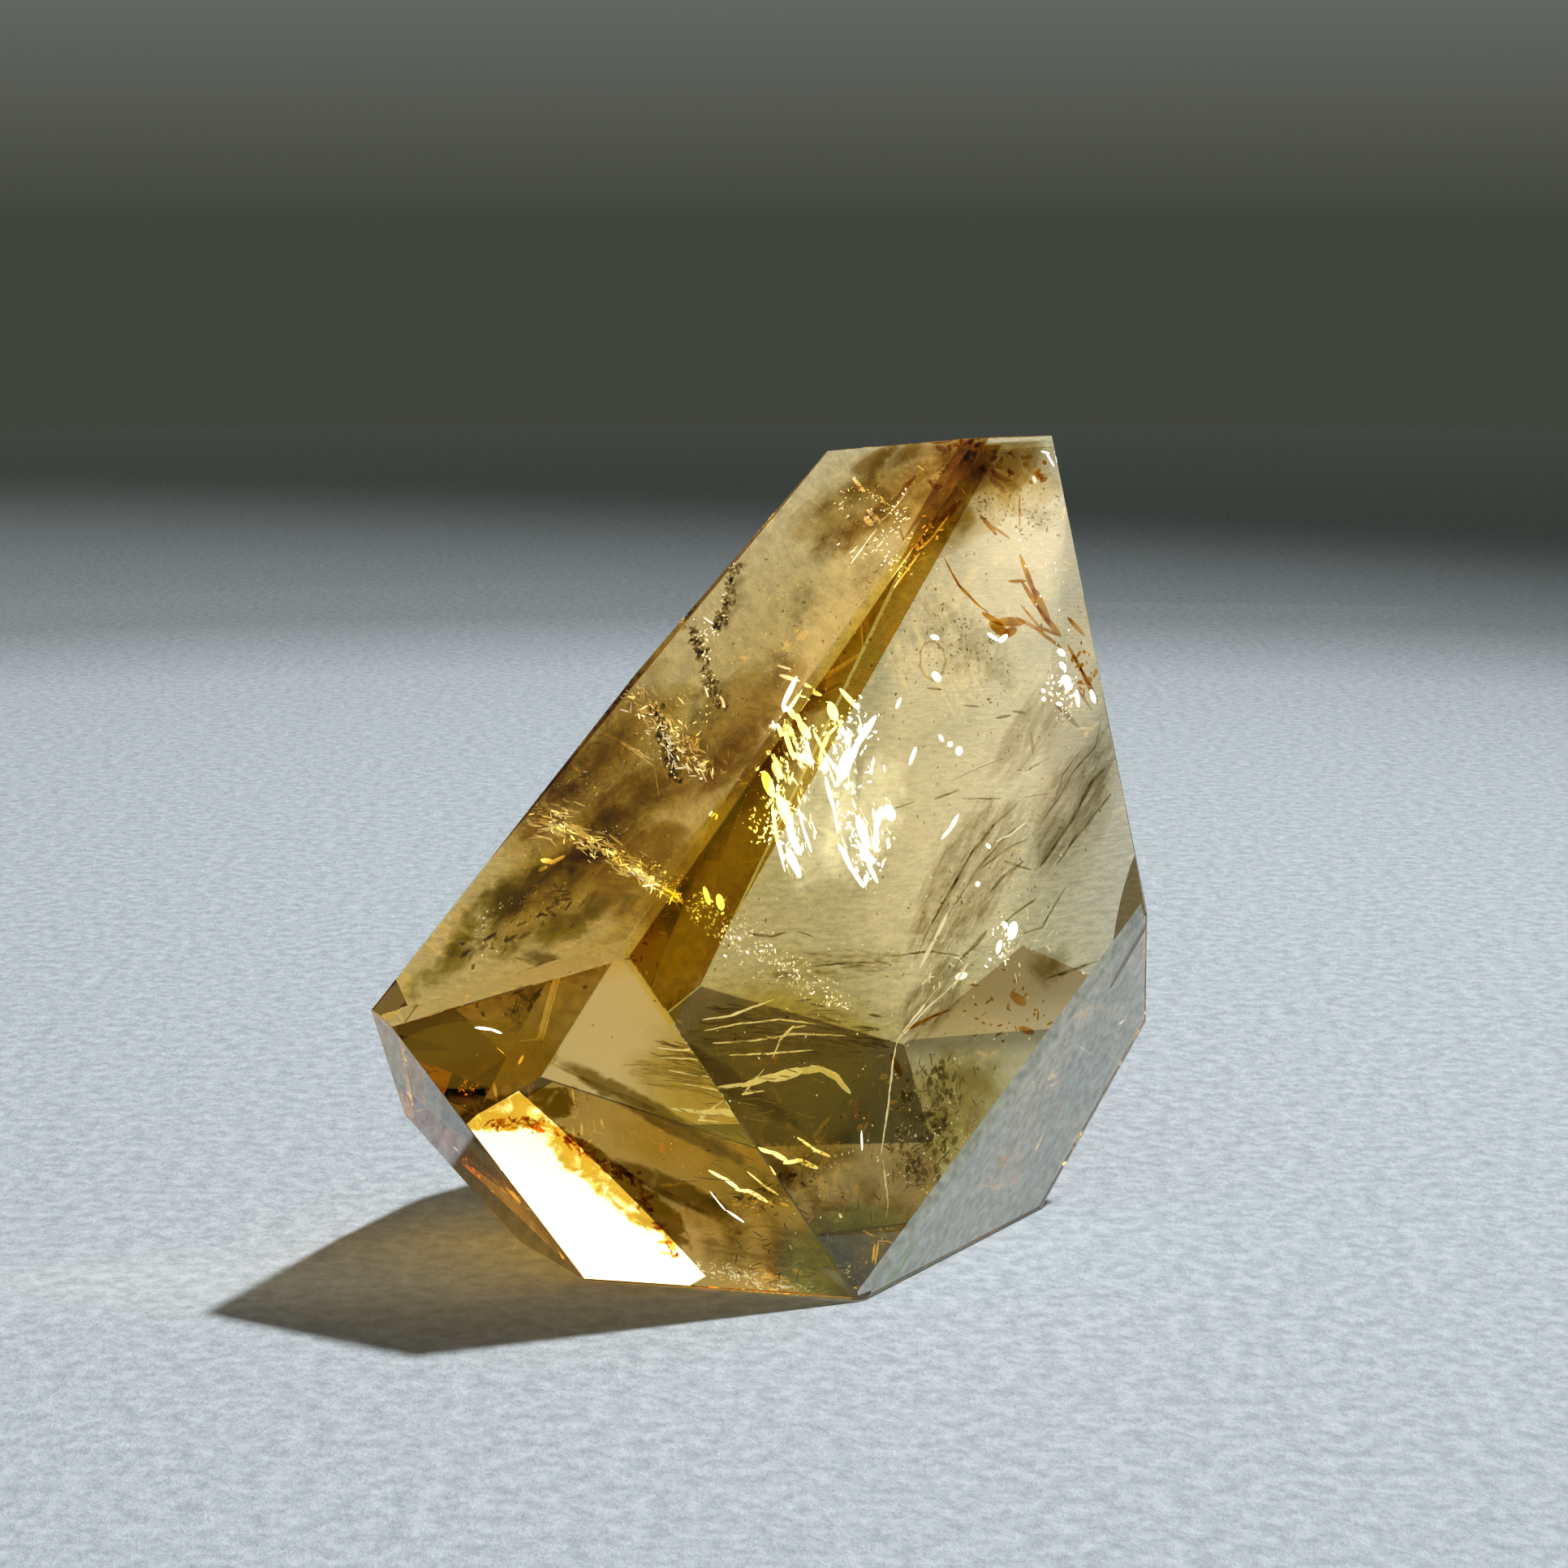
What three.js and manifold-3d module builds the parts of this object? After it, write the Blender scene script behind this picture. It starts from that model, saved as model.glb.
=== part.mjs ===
// A free-form polished citrine: one clear golden stone, hand-ground into a leaning
// spearhead that stands on a small flat sole. Millimetres, +Z up, the sole on z = 0,
// the long window of the stone looking toward -Y.
//
// The stone is made as a lapidary makes it. A sawn block is held at its heart, and
// each flat is ground square to a direction until it lies a set reach from the heart.
// A direction is a bearing and a tilt. Bearing 0 looks to -Y, bearing 90 to +X.
// Tilt 0 is level, tilt 90 looks straight up, and a minus tilt undercuts the stone.

import * as THREE from 'three';
import { mergeVertices } from 'three/addons/utils/BufferGeometryUtils.js';
import Module from 'manifold-3d';

const wasm = await Module();
wasm.setup();

// The sawn block, and the height of its heart above the sole.
const BLOCK_WIDTH = 66;
const BLOCK_DEPTH = 54;
const BLOCK_HEIGHT = 72;
const HEART_HEIGHT = 22;

// The sole the stone stands on.
const SOLE = { bearing: 0, tilt: -90, reach: 22 };

// The front: one tall window, a long left shoulder, and the undercut foot below both.
const WINDOW = { bearing: 35.5, tilt: 3, reach: 10.45 };
const SHOULDER = { bearing: -43.5, tilt: 43.5, reach: 16.95 };
const FOOT = { bearing: -13.5, tilt: -25.5, reach: 17.65 };
const FOOT_RIGHT = { bearing: 58, tilt: -20.5, reach: 17.25 };
const FOOT_LEFT = { bearing: -60, tilt: -35.5, reach: 24.35 };

// The narrow flat that eases the edge between the shoulder and the foot.
const GIRDLE_FLAT = { bearing: -31, tilt: 20.4, reach: 20.75 };

// The small sloping top.
const CROWN = { bearing: -153, tilt: 83, reach: 31.95 };

// The sides. The left one is ground in two strokes that differ by three degrees.
const SIDE_RIGHT = { bearing: 99, tilt: 13, reach: 24.95 };
const SIDE_LEFT = { bearing: -114, tilt: 28, reach: 15.75 };
const SIDE_LEFT_TOP = { bearing: -116, tilt: 31, reach: 16.2 };

// The back: a broad flat, one beside it on each hand, and three undercut flats.
const BACK = { bearing: -176, tilt: 6, reach: 17.85 };
const BACK_LEFT = { bearing: -127, tilt: 26.7, reach: 16.7 };
const BACK_RIGHT = { bearing: 158, tilt: 2, reach: 22.15 };
const BACK_UNDER = { bearing: -163, tilt: -32, reach: 20.7 };
const BACK_UNDER_LEFT = { bearing: -130, tilt: -38, reach: 25.6 };
const BACK_UNDER_RIGHT = { bearing: 165, tilt: -20.5, reach: 21.6 };

// How far the long edge between window and shoulder is rubbed down.
const RIDGE_RUB = 0.3;

const GOLDEN = '#c99a2e';

// The outward direction of a flat.
function direction(flat) {
  const bearing = THREE.MathUtils.degToRad(flat.bearing);
  const tilt = THREE.MathUtils.degToRad(flat.tilt);
  const level = Math.cos(tilt);
  return new THREE.Vector3(Math.sin(bearing) * level, -Math.cos(bearing) * level, Math.sin(tilt));
}

// A solid from one of the stock geometry classes.
function solid(geometry) {
  const bare = geometry.clone();
  bare.deleteAttribute('normal');
  bare.deleteAttribute('uv');
  const welded = mergeVertices(bare);
  const vertProperties = new Float32Array(welded.attributes.position.array);
  const triVerts = new Uint32Array(welded.index.array);
  return new wasm.Manifold(new wasm.Mesh({ numProp: 3, vertProperties, triVerts }));
}

// The waste outside a flat: a slab that starts at the flat and runs outward.
function waste(outward, reach) {
  const span = 260;
  const thick = 90;
  const slab = new THREE.BoxGeometry(span, span, thick);
  slab.translate(0, 0, reach + thick / 2);
  const turn = new THREE.Quaternion().setFromUnitVectors(new THREE.Vector3(0, 0, 1), outward);
  slab.applyQuaternion(turn);
  slab.translate(0, 0, HEART_HEIGHT);
  return solid(slab);
}

// Grinds one flat into the stone.
function grind(stone, flat) {
  return stone.subtract(waste(direction(flat), flat.reach));
}

// Rubs down the edge where two flats meet, square to the line halfway between them.
function rubEdge(stone, first, second, depth) {
  const a = direction(first);
  const b = direction(second);
  const halfway = a.clone().add(b).normalize();
  const cosine = a.dot(b);
  const edge = (first.reach + second.reach) / (1 + cosine);
  const reach = edge * a.dot(halfway) - depth;
  return stone.subtract(waste(halfway, reach));
}

// A three.js geometry from the finished solid.
function geometryOf(stone) {
  const mesh = stone.getMesh();
  const geometry = new THREE.BufferGeometry();
  geometry.setAttribute('position', new THREE.BufferAttribute(new Float32Array(mesh.vertProperties), 3));
  geometry.setIndex(new THREE.BufferAttribute(new Uint32Array(mesh.triVerts), 1));
  const flat = geometry.toNonIndexed();
  flat.computeVertexNormals();
  return flat;
}

const block = new THREE.BoxGeometry(BLOCK_WIDTH, BLOCK_DEPTH, BLOCK_HEIGHT);
block.translate(0, 0, HEART_HEIGHT + 8);

let stone = solid(block);
stone = grind(stone, SOLE);
stone = grind(stone, WINDOW);
stone = grind(stone, SHOULDER);
stone = grind(stone, FOOT);
stone = grind(stone, FOOT_RIGHT);
stone = grind(stone, FOOT_LEFT);
stone = grind(stone, CROWN);
stone = grind(stone, SIDE_RIGHT);
stone = grind(stone, SIDE_LEFT);
stone = grind(stone, SIDE_LEFT_TOP);
stone = grind(stone, BACK);
stone = grind(stone, BACK_LEFT);
stone = grind(stone, BACK_RIGHT);
stone = grind(stone, BACK_UNDER);
stone = grind(stone, BACK_UNDER_LEFT);
stone = grind(stone, BACK_UNDER_RIGHT);
stone = grind(stone, GIRDLE_FLAT);
stone = rubEdge(stone, WINDOW, SHOULDER, RIDGE_RUB);

const citrine = new THREE.Mesh(
  geometryOf(stone),
  new THREE.MeshStandardMaterial({ color: GOLDEN, roughness: 0.05, metalness: 0 }),
);
citrine.name = 'citrine';

const part = new THREE.Group();
part.name = 'citrine_freeform';
part.add(citrine);

export default part;
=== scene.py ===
# %% [markdown]
# A polished freeform of citrine: one clear, honey-coloured block of quartz, ground with flat
# facets and stood on its cut base. The shape comes ready-made and to size from the packed
# model. This lesson gives it its looks: the clear stone itself, the veils, cracks and rust
# stains that are trapped inside it, a pale floor, the lamps and the camera.

# %% Load the measured block
import math
import random

import bmesh
import bpy
from mathutils import Matrix, Vector


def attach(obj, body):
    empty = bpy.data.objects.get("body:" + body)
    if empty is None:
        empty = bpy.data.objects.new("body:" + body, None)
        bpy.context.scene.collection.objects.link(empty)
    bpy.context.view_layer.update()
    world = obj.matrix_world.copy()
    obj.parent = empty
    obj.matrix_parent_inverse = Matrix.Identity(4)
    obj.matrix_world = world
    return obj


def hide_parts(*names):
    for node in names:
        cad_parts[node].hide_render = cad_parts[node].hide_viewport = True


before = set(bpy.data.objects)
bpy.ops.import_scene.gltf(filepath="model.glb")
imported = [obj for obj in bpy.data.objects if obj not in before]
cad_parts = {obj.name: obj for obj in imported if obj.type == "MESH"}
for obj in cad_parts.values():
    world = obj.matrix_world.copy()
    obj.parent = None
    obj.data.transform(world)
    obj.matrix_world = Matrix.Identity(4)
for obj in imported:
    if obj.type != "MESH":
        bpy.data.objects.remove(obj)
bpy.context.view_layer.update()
MM = 0.001

# %% [markdown]
# The camera stands a hand's width above the table and looks slightly down at the stone, so
# that the broad window facet and the long shoulder facet both face it. A long lens keeps the
# upright edges from spreading.

# %% Camera
camera_data = bpy.data.cameras.new("camera")
camera_data.sensor_width = 36.0
camera_data.lens = 78.26
camera = bpy.data.objects.new("camera", camera_data)
camera.location = (0.0003, -0.2225, 0.0689)
camera.rotation_euler = (math.radians(80.611), 0.0, 0.0)
camera_data.clip_start = 0.01
camera_data.clip_end = 20.0
bpy.context.scene.collection.objects.link(camera)
bpy.context.scene.camera = camera
print("camera lens (mm):", camera_data.lens)

# %% [markdown]
# Clear quartz is glass to the renderer: it lets light through, bends it by its index of
# 1.55, and mirrors a little of it. Its honey colour isn't painted on. It comes from depth,
# because the stone swallows blue light, and some green, on every millimetre of the way. A
# Volume Absorption node does just that, so thin corners are nearly colourless and long
# paths go brown.

# %% The stone's own material
QUARTZ_INDEX = 1.55
PLAIN_INDEX = 1.5
UNBENT = 1.0


def new_finish(name, roughness, index=PLAIN_INDEX, clear=0.0):
    """A new material, its nodes and links, and its shader with the basic looks set."""
    material = bpy.data.materials.new(name)
    material.use_nodes = True
    nodes, links = material.node_tree.nodes, material.node_tree.links
    shader = nodes["Principled BSDF"]
    shader.inputs["Roughness"].default_value = roughness
    shader.inputs["IOR"].default_value = index
    shader.inputs["Transmission Weight"].default_value = clear
    return material, nodes, links, shader


def clear_quartz(name, swallow, density, index=QUARTZ_INDEX):
    """Clear all through, and swallowing the colours that its absorption colour lacks."""
    material, nodes, links, shader = new_finish(name, 0.0, index, 1.0)
    shader.inputs["Base Color"].default_value = (1.0, 1.0, 1.0, 1.0)
    depth = nodes.new("ShaderNodeVolumeAbsorption")
    depth.inputs["Color"].default_value = (*swallow, 1)
    depth.inputs["Density"].default_value = density
    links.new(depth.outputs["Volume"], nodes["Material Output"].inputs["Volume"])
    return material


citrine = clear_quartz("citrine_clear", (0.952, 0.764, 0.165), 54.0)
print("material:", citrine.name)

# %% [markdown]
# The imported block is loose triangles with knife-sharp edges. A copy of it has its doubled
# corners merged and its flat triangles joined back into whole facets. Then every edge gets
# a hair-fine bevel, as a polishing cloth leaves it, and these slivers catch the light.

# %% The polished block
WELD = 0.02 * MM
SAME_FACET = math.radians(0.6)
EDGE_POLISH = 0.13 * MM


def plain_block():
    """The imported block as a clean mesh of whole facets."""
    bm = bmesh.new()
    bm.from_mesh(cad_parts["citrine"].data)
    bmesh.ops.remove_doubles(bm, verts=bm.verts, dist=WELD)
    bmesh.ops.dissolve_limit(bm, angle_limit=SAME_FACET, verts=bm.verts, edges=bm.edges)
    bm.normal_update()
    return bm


def made_object(name, bm, material):
    """Turns a finished bmesh into a flat-shaded object of the scene."""
    mesh = bpy.data.meshes.new(name)
    bm.to_mesh(mesh)
    bm.free()
    mesh.materials.append(material)
    made = bpy.data.objects.new(name, mesh)
    bpy.context.scene.collection.objects.link(made)
    return made


bm = plain_block()
facets = len(bm.faces)
bmesh.ops.bevel(bm, geom=bm.edges[:], offset=EDGE_POLISH, offset_type="OFFSET", affect="EDGES",
                segments=2, profile=0.5, material=-1, clamp_overlap=True)
bmesh.ops.recalc_face_normals(bm, faces=bm.faces)
for face in bm.faces:
    face.smooth = False
stone = made_object("polished_stone", bm, citrine)
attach(stone, "root")
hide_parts("citrine")
print("facets:", facets, "faces after the edge polish:", len(stone.data.polygons))

# %% [markdown]
# Inside the stone there is a whole landscape: veils of tiny trapped droplets, feathery
# cracks, dark streaks, rusty blades of iron ore and stains of deeper colour. None of them
# may poke out through the polish. So the first helper knows the flats of the block and says
# how far a point lies below the nearest of them.

# %% Where the inside is
HEART = Vector((1.2, 3.3, 22.4)) * MM
bm = plain_block()
FLATS = [(face.calc_center_median(), face.normal.copy()) for face in bm.faces]
bm.free()


def room_inside(point):
    """How far a point lies below the nearest flat; less than nothing means outside."""
    return min((middle - point).dot(normal) for middle, normal in FLATS)


def flat_towards(bearing, tilt):
    """The flat whose outward direction is nearest to a bearing and tilt in degrees."""
    turn, lift = math.radians(bearing), math.radians(tilt)
    way = Vector((math.sin(turn) * math.cos(lift), -math.cos(turn) * math.cos(lift),
                  math.sin(lift)))
    return max(FLATS, key=lambda flat: flat[1].dot(way))


WINDOW = flat_towards(35.5, 3)
SHOULDER = flat_towards(-43.5, 43.5)
FOOT_RIGHT = flat_towards(58, -20.5)
print("flats:", len(FLATS), "room at the heart (mm):", round(room_inside(HEART) / MM, 1))

# %% [markdown]
# A thing inside clear quartz isn't where it seems to be, because the facet in front of it
# bends the line of sight. So each inclusion is laid out on a front sheet, a plane that stands
# 210 mm before the camera, in millimetres to the right and up from the middle of the view.
# The helper follows the line of sight through that place to the stone, bends it as the facet
# does, and goes on inward for a depth.

# %% Looking into the stone
SHEET_AWAY = 210.0 * MM
EYE = camera.location.copy()
GAZE = camera.rotation_euler.to_matrix()


def sight(right, up):
    """Where the line of sight through a place on the sheet enters, and its way inside."""
    ray = (GAZE @ Vector((right * MM, up * MM, -SHEET_AWAY))).normalized()
    fronts = [(middle, normal) for middle, normal in FLATS if ray.dot(normal) < 0]
    gone, normal = max(((middle - EYE).dot(normal) / ray.dot(normal), tuple(normal))
                       for middle, normal in fronts)
    normal = Vector(normal)
    slant, thin = -ray.dot(normal), 1.0 / QUARTZ_INDEX
    bend = thin * slant - math.sqrt(1.0 - thin * thin * (1.0 - slant * slant))
    return EYE + ray * gone, (ray * thin + normal * bend).normalized()


def behind(right, up, depth):
    """The point that shows at a place on the sheet, so many millimetres into the stone."""
    enter, way = sight(right, up)
    return enter + way * depth * MM


print("a point 5 mm behind the window (mm):", [round(v / MM, 1) for v in behind(10, 0, 5)])

# %% [markdown]
# A crack or a streak is a row of slender closed spindles, end to end, each one a small ball
# pulled long and pressed flat. Rows that are a little crooked look grown, while a smooth tube
# would look like wire. A drift is a loose swarm of the same spindles along a line.

# %% Spindles, streaks and drifts
SKIN = 0.15 * MM
rng = random.Random(7)


def wander(size):
    """A random shift of at most so much along each axis."""
    return Vector([rng.uniform(-1, 1) for _ in range(3)]) * size


def spindle(bm, middle, along, length, width, thick, fine=1):
    """One closed spindle, long side along the given way and flat side to the window."""
    along = along.normalized()
    ends = [middle + along * length * end for end in (-0.5, 0.0, 0.5)]
    if min(room_inside(end) for end in ends) < SKIN + width / 2:
        return
    across = along.cross(WINDOW[1] + wander(0.5)).normalized()
    up = along.cross(across)
    shape = Matrix((along * length / 2, across * width / 2, up * thick / 2)).transposed().to_4x4()
    bmesh.ops.create_icosphere(bm, subdivisions=fine, radius=1.0,
                               matrix=Matrix.Translation(middle) @ shape)


def streak(bm, width, depth, places):
    """A crooked row of spindles through places on the sheet, thinner at both ends."""
    ways = [behind(right, up, depth) for right, up in places]
    total = sum((b - a).length for a, b in zip(ways, ways[1:]))
    gone = 0.0
    for a, b in zip(ways, ways[1:]):
        leg = b - a
        parts = max(1, round(leg.length / (width * MM * 5)))
        for i in range(parts):
            share = (gone + leg.length * (i + 0.5) / parts) / total
            girth = width * MM * (0.45 + 0.65 * math.sin(math.pi * share)) * rng.uniform(0.75, 1.15)
            middle = a + leg * (i + 0.5) / parts + wander(0.12 * width * MM)
            spindle(bm, middle, leg + wander(leg.length * 0.06), leg.length / parts * 1.45,
                    girth, girth * 0.3, fine=2)
        gone += leg.length


def drift(bm, count, spread, length, thick, wild, depth, places):
    """A swarm of tiny spindles along a line: wild 0 keeps them combed, 1 tumbles them."""
    ways = [behind(right, up, depth) for right, up in places]
    for _ in range(count):
        leg = rng.randrange(len(ways) - 1)
        way = ways[leg + 1] - ways[leg]
        middle = ways[leg] + way * rng.random()
        sheet = way.cross(WINDOW[1]).normalized()
        middle += sheet * rng.gauss(0, 0.5) * spread * MM + wander(0.18 * spread * MM)
        grow = rng.uniform(0.3, 1.3)
        girth = thick * MM * rng.uniform(0.5, 1.2)
        spindle(bm, middle, way.normalized() + wander(1.6 * wild), length * MM * grow,
                girth, girth * 0.35)


def trapped(name, material, streaks=(), drifts=()):
    """Makes one piece of many streaks and drifts, which stays with the stone."""
    bm = bmesh.new()
    for row in streaks:
        streak(bm, *row)
    for row in drifts:
        drift(bm, *row)
    return keep_piece(name, bm, material)


def keep_piece(name, bm, material):
    """Turns a bmesh into a piece that stays with the stone, its faces outward."""
    bmesh.ops.recalc_face_normals(bm, faces=bm.faces)
    piece = made_object(name, bm, material)
    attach(piece, "root")
    print(name, "faces:", len(piece.data.polygons))
    return piece


# %% [markdown]
# Each kind of inclusion has its own finish. Rust and dark streaks are like stained glass,
# they only take colour out of the light that passes. Their index is 1.0, which means that
# they don't bend it. Feathers and droplets are pale and scatter light, and the ones that
# face the lamp flare up. That flare is painted light, a glow of their own that every pale
# finish has, whichever way it faces.

# %% Finishes of the inclusions
def colour_ramp(nodes, stops):
    """A ramp with a colour at each of its stops, which go from low to high."""
    ramp = nodes.new("ShaderNodeValToRGB")
    elements = ramp.color_ramp.elements
    for position, _ in stops[1:-1]:
        elements.new(position)
    for element, (position, colour) in zip(elements, stops):
        element.position = position
        element.color = (*colour, 1)
    return ramp


def mottled(nodes, links, low, high, scale):
    """Breaks the colour up with cloudy noise that is fixed to the stone."""
    coords = nodes.new("ShaderNodeTexCoord")
    cloud = nodes.new("ShaderNodeTexNoise")
    cloud.inputs["Scale"].default_value = scale
    cloud.inputs["Detail"].default_value = 4.0
    ramp = colour_ramp(nodes, [(0.35, low), (0.65, high)])
    links.new(coords.outputs["Object"], cloud.inputs["Vector"])
    links.new(cloud.outputs["Fac"], ramp.inputs["Fac"])
    links.new(ramp.outputs["Color"], nodes["Principled BSDF"].inputs["Base Color"])


def stained(name, low, high):
    """Stained glass that takes colour out of the light and doesn't bend it."""
    material, nodes, links, _ = new_finish(name, 0.3, UNBENT, 1.0)
    mottled(nodes, links, low, high, 900.0)
    return material


def pale(name, low, high, glow, strength, clear=0.0):
    """A pale, scattering finish with a painted glow of its own."""
    material, nodes, links, shader = new_finish(name, 0.35, UNBENT, clear)
    shader.inputs["Emission Color"].default_value = (*glow, 1)
    shader.inputs["Emission Strength"].default_value = strength
    mottled(nodes, links, low, high, 1400.0)
    return material


rust = stained("rust_stain", (0.42, 0.17, 0.015), (0.86, 0.52, 0.10))
smoke = stained("dark_streak", (0.30, 0.26, 0.15), (0.70, 0.65, 0.50))
shade = stained("soft_shade", (0.62, 0.57, 0.40), (0.86, 0.82, 0.66))
feather = pale("feather", (0.72, 0.66, 0.46), (0.95, 0.92, 0.78), (1.0, 0.97, 0.70), 0.56)
dim_feather = pale("dim_feather", (0.16, 0.13, 0.05), (0.42, 0.35, 0.17), (1.0, 0.9, 0.6), 0.02)
sunlit = pale("sunlit_flake", (0.95, 0.90, 0.55), (1.0, 1.0, 0.90), (1.0, 0.96, 0.72), 2.6)
sparkle = pale("sparkle", (0.9, 0.9, 1.0), (1.0, 1.0, 1.0), (0.93, 0.92, 1.0), 2.0)
print("finishes:", [m.name for m in bpy.data.materials])

# %% [markdown]
# Dark streaks run down the right half of the stone like combed hair, from the right edge
# towards the middle, with short dashes lying across them.

# %% Dark streaks
# Each row is a width, a depth and the places on the sheet that the streak runs through.
DARK_STREAKS = [
    (0.25, 7, [(14.4, -1.2), (12.9, -2.6), (11.6, -4.2), (10.6, -6.0), (9.2, -8.4), (8.1, -10.7)]),
    (0.21, 7.5, [(14.8, -2.2), (13.5, -3.4), (11.9, -5.3), (10.6, -7.3), (9.7, -8.8)]),
    (0.17, 6.5, [(15.0, -3.4), (13.7, -4.0), (12.3, -5.1)]),
    (0.29, 7, [(14.6, -4.9), (13.6, -5.6), (12.8, -6.5)]),
    (0.25, 7, [(13.7, -4.8), (15.1, -5.3)]),
    (0.21, 6, [(15.5, -7.1), (14.3, -7.9), (13.4, -8.7)]),
    (0.38, 6.5, [(12.4, -9.2), (11.6, -10.1), (10.9, -10.8)]),
    (0.17, 6, [(17.3, -6.4), (16.6, -7.6), (15.9, -8.8), (14.8, -9.2)]),
    (0.17, 5, [(19.5, 3.8), (19.2, 2.3), (17.9, 0.9), (16.9, -0.9), (15.9, -2.3)]),
    (0.12, 5, [(18.1, 1.9), (17.2, 0.6), (16.7, -1.1)]),
    (0.34, 5.5, [(20.4, 1.7), (18.9, 0.0), (17.7, -2.2), (16.7, -3.8), (15.9, -4.9)]),
    (0.29, 5, [(20.7, 0.2), (19.3, -1.7), (17.7, -3.7), (16.9, -4.8)]),
    (0.25, 5, [(19.3, -10.9), (17.9, -11.4), (16.2, -12.0)]),
    (0.12, 8, [(6.5, -1.6), (8.0, -1.1)]),
    (0.21, 8, [(9.4, -0.9), (10.7, -0.4)]),
    (0.12, 7.5, [(11.0, -0.9), (13.3, -0.9)]),
    (0.12, 7.5, [(14.9, -0.8), (16.3, -0.6)]),
    (0.08, 8, [(10.3, 0.2), (12.0, 1.0), (13.6, 1.6)]),
    (0.11, 7, [(14.9, 0.8), (16.3, 1.6)]),
    (0.25, 9, [(-2.0, -9.2), (-0.8, -9.4), (0.0, -9.2)]),
    (0.12, 9, [(0.9, -9.1), (1.8, -9.4)]),
    (0.21, 8, [(2.0, -11.2), (4.1, -11.0), (6.3, -11.0)]),
    (0.21, 9, [(3.7, -11.3), (4.7, -11.2)]),
    (0.17, 8, [(11.2, 4.8), (11.9, 4.8)]),
    (0.17, 8, [(13.2, 4.1), (13.9, 4.2)]),
    (0.21, 8, [(8.9, 5.9), (9.6, 5.8)]),
    (0.21, 6, [(14.2, 4.5), (14.8, 4.4)]),
    (0.17, 8, [(6.7, -10.6), (9.2, -10.3), (11.2, -10.7)]),
    (0.29, 10, [(15.2, 3.0), (15.4, 2.0)]),
    (0.34, 5, [(16.9, 4.7), (18.0, 3.7)]),
    (0.25, 5, [(18.2, 5.7), (18.9, 4.7)]),
    (0.21, 3, [(-2.2, 4.7), (-1.1, 4.5)]),
]
# A drift has a count, a spread, a length, a thickness, how tumbled it is, a depth and its line.
DARK_DRIFTS = [
    (260, 14.7, 0.3, 0.17, 1, 6, [(13.7, 16.3), (11.7, 3.3), (7.7, -16.7), (4.7, -26.7)]),
    (140, 9.0, 0.3, 0.19, 1, 4, [(4.7, 17.3), (-3.3, 7.3), (-16.3, -7.7)]),
    (110, 0.8, 0.6, 0.45, 0.9, 3.5, [(-3.0, 13.8), (-3.4, 11.3), (-4.1, 9.6)]),
    (130, 0.9, 0.6, 0.45, 0.9, 3.5, [(-5.8, 9.8), (-5.0, 7.7), (-3.9, 4.7)]),
    (120, 1.0, 0.6, 0.45, 0.9, 3.8, [(-8.0, 5.0), (-7.3, 2.8), (-6.6, 0.2)]),
    (90, 2.3, 1.0, 0.51, 0.9, 7.5, [(9.7, -17.2), (9.2, -20.7), (8.0, -24.2)]),
    (80, 3.4, 0.3, 0.17, 1, 6.5, [(9.2, -10.2), (13.7, -4.7), (18.7, 1.8)]),
    (90, 1.5, 0.4, 0.17, 1, 5.5, [(11.9, 17.4), (14.7, 16.8), (17.2, 16.3)]),
    (110, 2.0, 0.3, 0.17, 1, 7, [(8.7, 10.3), (11.2, 8.3), (14.2, 6.3)]),
    (40, 2.3, 1.1, 0.45, 0.9, 4.5, [(-20.3, -11.2), (-16.3, -8.7), (-12.3, -7.2)]),
    (50, 1.2, 3.4, 0.23, 0.1, 10, [(-4.3, -14.2), (0.7, -14.8), (5.7, -15.7)]),
    (30, 1.4, 0.7, 0.28, 0.8, 8, [(-0.3, -23.7), (2.2, -24.2)]),
]
trapped("dark_streaks", smoke, DARK_STREAKS, DARK_DRIFTS)

# %% [markdown]
# Where cracks crowd together there is no line to see, only a soft band of shade. Thick
# spindles of a weaker tint do for it, and a thin ring of them stands near the ridge.

# %% Soft shades
SOFT_SHADE = [
    (0.62, 12, [(-14.1, -17.2), (-12.3, -18.2), (-10.3, -19.1), (-8.3, -20.0), (-6.5, -20.9),
     (-4.3, -22.3), (-1.8, -24.2)]),
    (0.17, 11, [(-9.2, -17.7), (-7.7, -17.9)]),
    (0.17, 11, [(-8.3, -18.5), (-5.8, -18.7)]),
    (0.17, 11, [(-9.8, -17.3), (-8.3, -17.3)]),
    (0.79, 12, [(-10.3, -23.7), (-8.3, -24.8), (-5.8, -26.0), (-3.8, -27.0)]),
    (0.34, 1.2, [(18.3, -18.0), (19.3, -17.0), (20.6, -16.1)]),
    (0.28, 7, [(8.7, 8.7), (9.3, 8.8), (9.8, 8.3), (10.0, 7.6), (9.8, 6.9), (9.2, 6.4), (8.7, 6.7),
     (8.4, 7.3), (8.4, 8.1), (8.7, 8.7)]),
]
trapped("soft_shades", shade, SOFT_SHADE)

# %% [markdown]
# Iron has crept in along old cracks and left rust: a bent strand with a thick clot, a
# broad pointed blade, and crumbs along the rim of the bright patch.

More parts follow.
